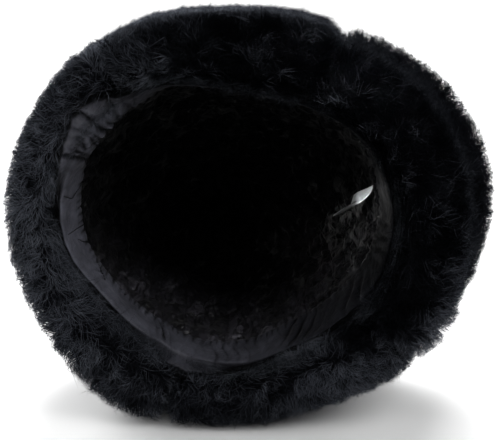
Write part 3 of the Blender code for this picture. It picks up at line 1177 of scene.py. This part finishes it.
def pouch_spread(angle):
    """How far out over the fur the band lies: in its pouch, and where it sags."""
    apart = angle_apart(angle, POUCH_ANGLE)
    width = np.where(apart > 0, POUCH_WIDTH * 0.5, POUCH_WIDTH)
    return POUCH_SPREAD * np.exp(-(apart / width) ** 2) + SAG_SPREAD * lobe(angle, SAG_ANGLE, SAG_WIDTH)


def fur_front(trees, angle, reach):
    """The height of the fur's face that looks to the front, at a place round the rim."""
    heights = [0.0]
    for near in (angle - LOOK_BESIDE, angle, angle + LOOK_BESIDE):
        start = place_at(near, reach, -LOOK_AHEAD)
        hits = [tree.ray_cast(start, Vector(UPWARD), LOOK_AHEAD)[3] for tree in trees]
        heights += [hit - LOOK_AHEAD for hit in hits if hit is not None]
    return min(heights)


def turn_the_lip(bm, edge):
    """Turns the band's outer edge over: out on the fur in the pouch, and then down under the fur."""
    under = bm.verts.layers.float.new("under")
    trees = [node_tree(node) for node in ("visor", "ear_flap_left", "ear_flap_right")]
    for row, (step_out, step_up) in enumerate(LIP_ROWS, start=1):
        edge, corners = next_row(bm, edge)
        for vert in corners:
            angle, reach, height = (float(value) for value in round_the_head(np.array(vert.co)))
            spread = float(pouch_spread(angle))
            joined = min(1.0, spread / POUCH_JOIN)
            reach += step_out * MM * (1 - 0.6 * joined)
            height += step_up * MM
            if row <= LIP_OPEN:
                reach += spread / LIP_OPEN
                puff = POUCH_PUFF * math.sin(math.pi * row / LIP_OPEN) * min(1.0, spread / POUCH_SPREAD)
                fold = float(ruche_folds(np.array([angle]), 0.0)[0][0]) * joined
                lying = min(height, fur_front(trees, angle, reach) - puff - fold)
                height += (lying - height) * joined
            vert.co = place_at(angle, reach, height)
            # painted shadow where the edge turns under the fur, and painted shade on the open rows
            sunk = 0.2 + 0.8 * max(0, row - LIP_OPEN + 1) / 2
            vert[under] = min(1.0, row / 4 + (sunk - row / 4) * joined)


def seam_pucker(angle):
    """The little folds where the band is sewn to the lining: 0 in a fold and 1 between."""
    return np.abs(np.sin(angle * 56 + np.sin(angle * 17)))


def ruche_folds(angle, share):
    """The ruches of the band: how far their folds stand out, and how near a valley each place is, which is
    painted in shade.
    """
    lift = np.zeros(len(angle))
    valley = np.zeros(len(angle))
    for spot in RUCHES:
        apart = angle_apart(angle, spot.angle)
        window = np.exp(-(apart / spot.half_width) ** 2)
        bent = apart + spot.slant * 10 * share + 0.9 * np.sin(share * 7 + spot.angle)
        fold = np.abs(np.sin(math.pi * bent / spot.spacing))
        draw = np.sin(np.round(bent / spot.spacing) * 12.99 + spot.angle * 78.23) * 437.58
        own = draw - np.floor(draw)
        pinch = window * (0.45 + 0.55 * own) * np.exp(-((share - 7.3 * own % 1) / 0.6) ** 2)
        lift += spot.depth * MM * (0.5 * window - 1.7 * pinch * (1 - fold ** 0.6))
        valley = np.maximum(valley, pinch * np.exp(-(fold / 0.42) ** 2) * min(1, spot.depth / 1.2))
    return lift, valley


def band_relief(angle, share):
    """How far the band puffs towards the head: long soft waves, the pouch, ruches and the gathered seam."""
    lift = 0.36 * MM * np.sin(angle * 7 + 0.7 * share) + 0.24 * MM * np.sin(angle * 13 + 2)
    lift += POUCH_LIFT * lobe(angle, POUCH_ANGLE, POUCH_WIDTH) * np.sin(math.pi * np.clip(share * 0.92, 0, 1))
    lift += 1.0 * MM * (seam_pucker(angle) ** 0.5 - 0.6) * np.clip((share - 0.7) / 0.3, 0, 1)
    return lift + ruche_folds(angle, share)[0]


def creased(places):
    """How deep each place lies in a crease of the pouch, in millimetres."""
    own = worn(places) / MM
    seen = own[:, :2] + own[:, 2:] * np.array(SEEN_UPWARD) + np.array(SEEN_MIDDLE)
    deepest = np.zeros(len(places))
    for crease in CREASES:
        corners = np.array(crease.line)
        for first, last in zip(corners, corners[1:]):
            way = last - first
            share = np.clip((seen - first) @ way / (way @ way), 0, 1)
            apart = np.linalg.norm(seen - first - share[:, None] * way, axis=1)
            deepest = np.maximum(deepest, crease.depth * np.exp(-(apart / CREASE_WIDTH) ** 2))
    return deepest * (own[:, 2] < BAND_HIGH / MM)


def build_band():
    """The sweatband: a strip that lines the rim, its outer edge turned under the fur."""
    tree = node_tree("sweatband")
    bm = cloth_grid(BAND_GRID, 0.57, BAND_HIGH - BAND_LOW)
    for vert in bm.verts:
        angle = (vert.co.x + 0.5) * math.tau
        height = BAND_LOW + (band_top(angle) - BAND_LOW) * (vert.co.y + 0.5)
        vert.co = tree.ray_cast(on_axis(height), Vector(outward_at(angle)))[0]
    bmesh.ops.remove_doubles(bm, verts=bm.verts, dist=0.02 * MM)
    smooth(bm, [v for v in bm.verts if not v.is_boundary], 5)
    angles, _, heights = round_the_head(places_of(bm))
    lifts = band_relief(angles, (heights - BAND_LOW) / (band_top(angles) - BAND_LOW)) + 0.5 * MM
    for vert, angle, lift in zip(bm.verts, angles, lifts):
        vert.co -= Vector(outward_at(angle) * lift)
    edge = [e for e in bm.edges if e.is_boundary and max(worn(np.array(v.co))[2] for v in e.verts) < 10 * MM]
    turn_the_lip(bm, edge)
    heights = round_the_head(places_of(bm))[2]
    smooth(bm, [v for v, height in zip(bm.verts, heights) if height < 5 * MM and not v.is_boundary], 1)
    places = places_of(bm)
    for vert, angle, depth in zip(bm.verts, round_the_head(places)[0], creased(places) * MM):
        vert.co += Vector((outward_at(angle) + UPWARD) * depth * 0.7)
    bmesh.ops.recalc_face_normals(bm, faces=bm.faces)
    half_way = 20 * MM
    inside = min(bm.faces, key=lambda f: abs(worn(np.array(f.calc_center_median()))[2] - half_way))
    if inside.normal.dot(on_axis(half_way) - inside.calc_center_median()) < 0:
        bmesh.ops.reverse_faces(bm, faces=bm.faces)
    band = new_piece("band_cloth", mesh_of("band_cloth", bm), band_satin)
    thicken(band, BAND_CLOTH)
    shade_piece(band, band_painted_shade)
    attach(band, "root")
    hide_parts("sweatband")
    return band


def label_painted_shade(places):
    """How white the label is: its loose end is painted grey in shade."""
    forward = worn(places)[:, 0]
    return 0.10 + 0.90 * np.clip((-forward - SHADED_END) / SHADE_FADE, 0, 1)


def build_label(lining):
    """The label: a short ribbon of white satin, sewn to the lining along one side, that turns as it hangs."""
    tree = ray_tree(copy_of(lining.data))
    ends = np.array(LABEL_LINES) * MM
    for end in ends[0]:
        angle = math.atan2(end[1], end[0])
        hit = tree.ray_cast(on_axis(end[2]), Vector(outward_at(angle)))
        end[:2] = worn(hit[0])[:2] - np.array((math.cos(angle), math.sin(angle))) * 0.6 * MM
    bm = cloth_grid(LABEL_GRID, 0.035, 0.012)
    stations = np.linspace(0, 1, len(ends))
    for vert in bm.verts:
        along, across = vert.co.x + 0.5, vert.co.y + 0.5
        shares = np.clip(along + np.linspace(-0.05, 0.05, 5), 0, 1)
        near, far = (
            np.mean([[np.interp(share, stations, line) for line in side.T] for share in shares], axis=0)
            for side in (ends[:, 0], ends[:, 1])
        )
        own = near + (far - near) * across
        curl = 0.5 * MM * math.sin(across * math.pi) + 0.25 * MM * math.sin(along * 19 + across * 4) * along
        place = MOUTH_MIDDLE + FORWARD * own[0] + SIDEWAYS * (own[1] + curl) + UPWARD * own[2]
        vert.co = Vector(place)
    bmesh.ops.recalc_face_normals(bm, faces=bm.faces)
    label = new_piece("label_ribbon", mesh_of("label_ribbon", bm), white_satin)
    thicken(label, LABEL_CLOTH)
    shade_piece(label, label_painted_shade)
    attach(label, "root")
    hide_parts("label")
    return label


def seam_apart(places):
    """How far each place on the crown is from the nearest of its four seams."""
    angle, reach, _ = round_the_head(places)
    return np.abs((np.degrees(angle) + 45) % 90 - 45) * math.pi / 180 * reach


def crown_relief(places):
    """Small dents where the stuffed cloth gives, seams that are drawn in, and puckers beside them."""
    apart = seam_apart(places)
    height = round_the_head(places)[2]
    dents = wave_at(places, WIDE_DENTS, 2) + wave_at(places, FINE_DENTS, 4)
    pucker = 0.35 * MM * np.sin(height / (1.1 * MM)) * np.exp(-((apart - 3 * MM) / (3 * MM)) ** 2)
    return dents + pucker - 0.5 * MM - SEAM_SUNK * np.exp(-(apart / SEAM_WIDTH) ** 2)


def crown_shade(places):
    """How much of its colour the crown's cloth shows: its seams are dark."""
    return 1 - 0.85 * np.exp(-(seam_apart(places) / SEAM_DARK) ** 2)


def build_crown():
    mesh = dome_cloth("crown_cloth", "crown", CROWN_RIM, False, CROWN_GRID, crown_relief, gathered=0.17)
    bm = copy_of(mesh)
    edge = [e for e in bm.edges if e.is_boundary]
    for _ in range(3):
        edge, corners = next_row(bm, edge)
        for vert in corners:
            angle = round_the_head(np.array(vert.co))[0]
            vert.co += Vector(outward_at(angle) * HEM_REACH / 3)
    crown = new_piece("crown_cloth", mesh_of("crown_cloth", bm), crown_twill)
    thicken(crown, CROWN_CLOTH)
    shade_piece(crown, crown_shade)
    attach(crown, "root")
    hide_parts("crown")
    return crown


# stitching

def read_along(line, along, where):
    """A line of points or directions, read at a length along it."""
    return np.array([np.interp(where, along, column) for column in line.T])


def stitched(name, lines, stitch, thread):
    """Stitches along lines of points with their normals, joined in one mesh."""
    length, width, gap = stitch
    bm = bmesh.new()
    for points, normals in lines:
        steps = np.linalg.norm(np.diff(points, axis=0), axis=1)
        along = np.concatenate([[0], np.cumsum(steps)])
        for middle in np.arange(length / 2, along[-1], length + gap):
            ahead = read_along(points, along, middle + length / 2)
            behind = read_along(points, along, middle - length / 2)
            up = unit(read_along(normals, along, middle))
            way = unit(ahead - behind)
            side = np.cross(up, way)
            turn = Matrix(np.stack([way, side, np.cross(way, side)], axis=1).tolist()).to_4x4()
            place = Matrix.Translation(Vector((ahead + behind) / 2 + up * width * 0.25))
            size = Matrix.Diagonal((length / 2, width / 2, width / 2, 1))
            bmesh.ops.create_icosphere(bm, subdivisions=1, radius=1, matrix=place @ turn @ size)
    piece = new_piece(name, mesh_of(name, bm), thread)
    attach(piece, "root")
    return piece


def crown_seam_lines(crown):
    """Two rows of topstitching beside each of the crown's four seams."""
    tree = ray_tree(copy_of(crown.data))
    lines = []
    for seam in range(4):
        angle = seam * math.pi / 2
        sideways = Vector(np.cross(UPWARD, outward_at(angle)))
        for beside in (-SEAM_BESIDE, SEAM_BESIDE):
            hits = []
            for share in np.linspace(0.06, 0.90, 60):
                start, way = dome_ray(angle, share, CROWN_RIM)
                hits.append(tree.ray_cast(start + way * FAR_OUT + sideways * beside, -way))
            lines.append(tuple(np.array([hit[k] for hit in hits]) for k in (0, 1)))
    return lines


def band_thread_lines(band):
    """The threads that show on the sweatband, run over its surface."""
    tree = ray_tree(copy_of(band.data))
    lines = []
    for corners in THREADS:
        stops = np.linspace(0, 1, len(corners))
        points, normals = [], []
        for share in np.linspace(0, 1, 24):
            turn = math.radians(np.interp(share, stops, [corner[0] for corner in corners]))
            level = np.interp(share, stops, [corner[1] for corner in corners])
            start = on_axis(BAND_LOW + (band_top(turn) - BAND_LOW) * level)
            points.append(np.array(tree.ray_cast(start, Vector(outward_at(turn)))[0]))
            normals.append(-outward_at(turn))
        lines.append((np.array(points), np.array(normals)))
    return lines


def build_scene():
    for flap in FLAPS:
        dress_flap(flap)
    lining = build_lining()
    band = build_band()
    crown = build_crown()
    build_label(lining)
    stitched("crown_stitches", crown_seam_lines(crown), CROWN_STITCH, crown_thread)
    stitched("band_stitches", band_thread_lines(band), BAND_STITCH, black_thread)


def light(name, place, size, power, target=HAT_PLACE, spread=180):
    """A soft square light that looks at the hat. Its spread is in degrees."""
    data = bpy.data.lights.new(name, "AREA")
    data.shape = "SQUARE"
    data.size = size
    data.energy = power
    data.spread = math.radians(spread)
    lamp = bpy.data.objects.new(name, data)
    lamp.location = place
    way = Vector(target) - Vector(place)
    lamp.rotation_euler = way.to_track_quat("-Z", "Y").to_euler()
    lamp.visible_camera = False
    bpy.context.scene.collection.objects.link(lamp)


def build_studio():
    """A white table that fades into white surroundings, and soft lights above and to the right."""
    bm = bmesh.new()
    bmesh.ops.create_grid(bm, x_segments=2, y_segments=2, size=TABLE_HALF)
    table = new_piece("table", mesh_of("table", bm, smooth=False), table_material())

    world = bpy.data.worlds.new("studio")
    bpy.context.scene.world = world
    world.use_nodes = True
    tree = world.node_tree
    around = tree.nodes["Background"]
    fill(around, Color=(0.9, 0.95, 1.0, 1), Strength=0.05)
    white = node_of(tree, "ShaderNodeBackground", Color=(1, 1, 1, 1), Strength=1.2)
    seen = tree.nodes.new("ShaderNodeLightPath").outputs["Is Camera Ray"]
    sky = mixed(tree, seen, around.outputs["Background"], white.outputs["Background"])
    fill(tree.nodes["World Output"], Surface=sky)

    light("behind_left", (-1.4, 1.0, 0.8), size=2.0, power=76)
    light("behind_right", (1.4, 1.0, 0.8), size=1.0, power=9)
    light("behind_above", (0.1, 1.2, 1.5), size=1.2, power=74)
    light("window_right", (1.1, -0.55, 1.25), size=0.9, power=16)
    light("fill_above", (0.0, -1.0, 1.6), size=1.0, power=4)
    light("fill_left", (-1.2, -1.2, 0.7), size=1.0, power=7)
    light("through_the_mouth", (-0.15, -0.95, 0.95), 0.06, 0.028, target=LABEL_PLACE, spread=6)


def build_camera():
    data = bpy.data.cameras.new("photo")
    data.lens = CAMERA_LENS
    data.sensor_width = 36
    data.clip_start = 0.05
    data.clip_end = 20
    camera = bpy.data.objects.new("photo", data)
    camera.location = CAMERA_PLACE
    back = Vector((
        math.sin(CAMERA_AZIMUTH) * math.cos(CAMERA_ELEVATION),
        -math.cos(CAMERA_AZIMUTH) * math.cos(CAMERA_ELEVATION),
        math.sin(CAMERA_ELEVATION),
    ))
    camera.rotation_euler = (-back).to_track_quat("-Z", "Y").to_euler()
    bpy.context.scene.collection.objects.link(camera)
    bpy.context.scene.camera = camera
    bpy.context.scene.view_settings.view_transform = "Standard"


clear_scene()
noise.seed_set(NOISE_SEED)
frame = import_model()
nodes = frame["nodes"]
black_plush = fur_material()
fur_roots = hide_material()
flap_twill = twill_material("flap_twill")[0]
crown_twill = crown_material()
black_lining = satin_material("black_lining", (0.088, 0.084, 0.102), 0.42, 0.9, 0.3)
band_satin = satin_material("band_satin", (0.120, 0.122, 0.152), 0.46, 0.18, 0.25)
white_satin = label_material()
black_thread = thread_material("black_thread", (0.003, 0.003, 0.004))
crown_thread = thread_material("crown_thread", (0.035, 0.035, 0.040))
build_camera()
build_scene()
build_studio()
